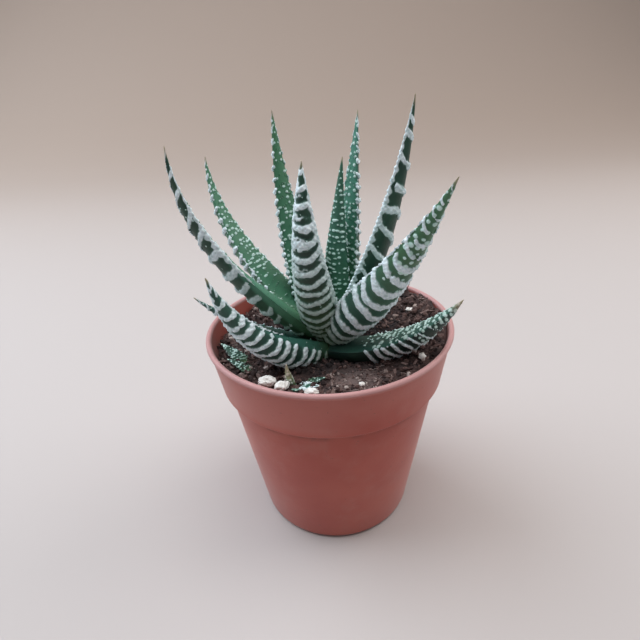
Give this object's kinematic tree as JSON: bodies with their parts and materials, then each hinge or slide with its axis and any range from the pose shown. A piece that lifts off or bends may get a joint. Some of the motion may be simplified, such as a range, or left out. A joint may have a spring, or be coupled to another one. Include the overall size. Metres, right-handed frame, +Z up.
{
  "type": "potted haworthia",
  "caption": "Small zebra-banded succulent with a rosette of tapering pointed leaves, in a tapered plastic nursery pot with a stepped collar.",
  "frame": {"origin": "middle of the pot's flat underside, on the pot's axis", "axes": "+Z up along the pot's axis, -Y towards the front, where the small pup and most white grains lie"},
  "size_m": [0.0561, 0.0538, 0.097],
  "materials": {
    "terracotta_plastic": "satin",
    "peat": "matte",
    "stem_green": "satin",
    "leaf_green": "satin",
    "pup_green": "satin",
    "perlite": "matte"
  },
  "bodies": {
    "root": {"pot": "terracotta_plastic", "soil": "peat", "stem": "stem_green", "leaf_01": "leaf_green", "leaf_02": "leaf_green", "leaf_03": "leaf_green", "leaf_04": "leaf_green", "leaf_05": "leaf_green", "leaf_06": "leaf_green", "leaf_07": "leaf_green", "leaf_08": "leaf_green", "leaf_09": "leaf_green", "leaf_10": "leaf_green", "leaf_11": "leaf_green", "leaf_12": "leaf_green", "leaf_13": "leaf_green", "pup_left_leaf_01": "pup_green", "pup_left_leaf_02": "pup_green", "pup_front_leaf_01": "pup_green", "pup_front_leaf_02": "pup_green", "pup_front_leaf_03": "pup_green", "pup_front_leaf_04": "pup_green", "perlite_01": "perlite", "perlite_02": "perlite", "perlite_03": "perlite", "perlite_04": "perlite", "perlite_05": "perlite", "perlite_06": "perlite"}
  },
  "joints": []
}
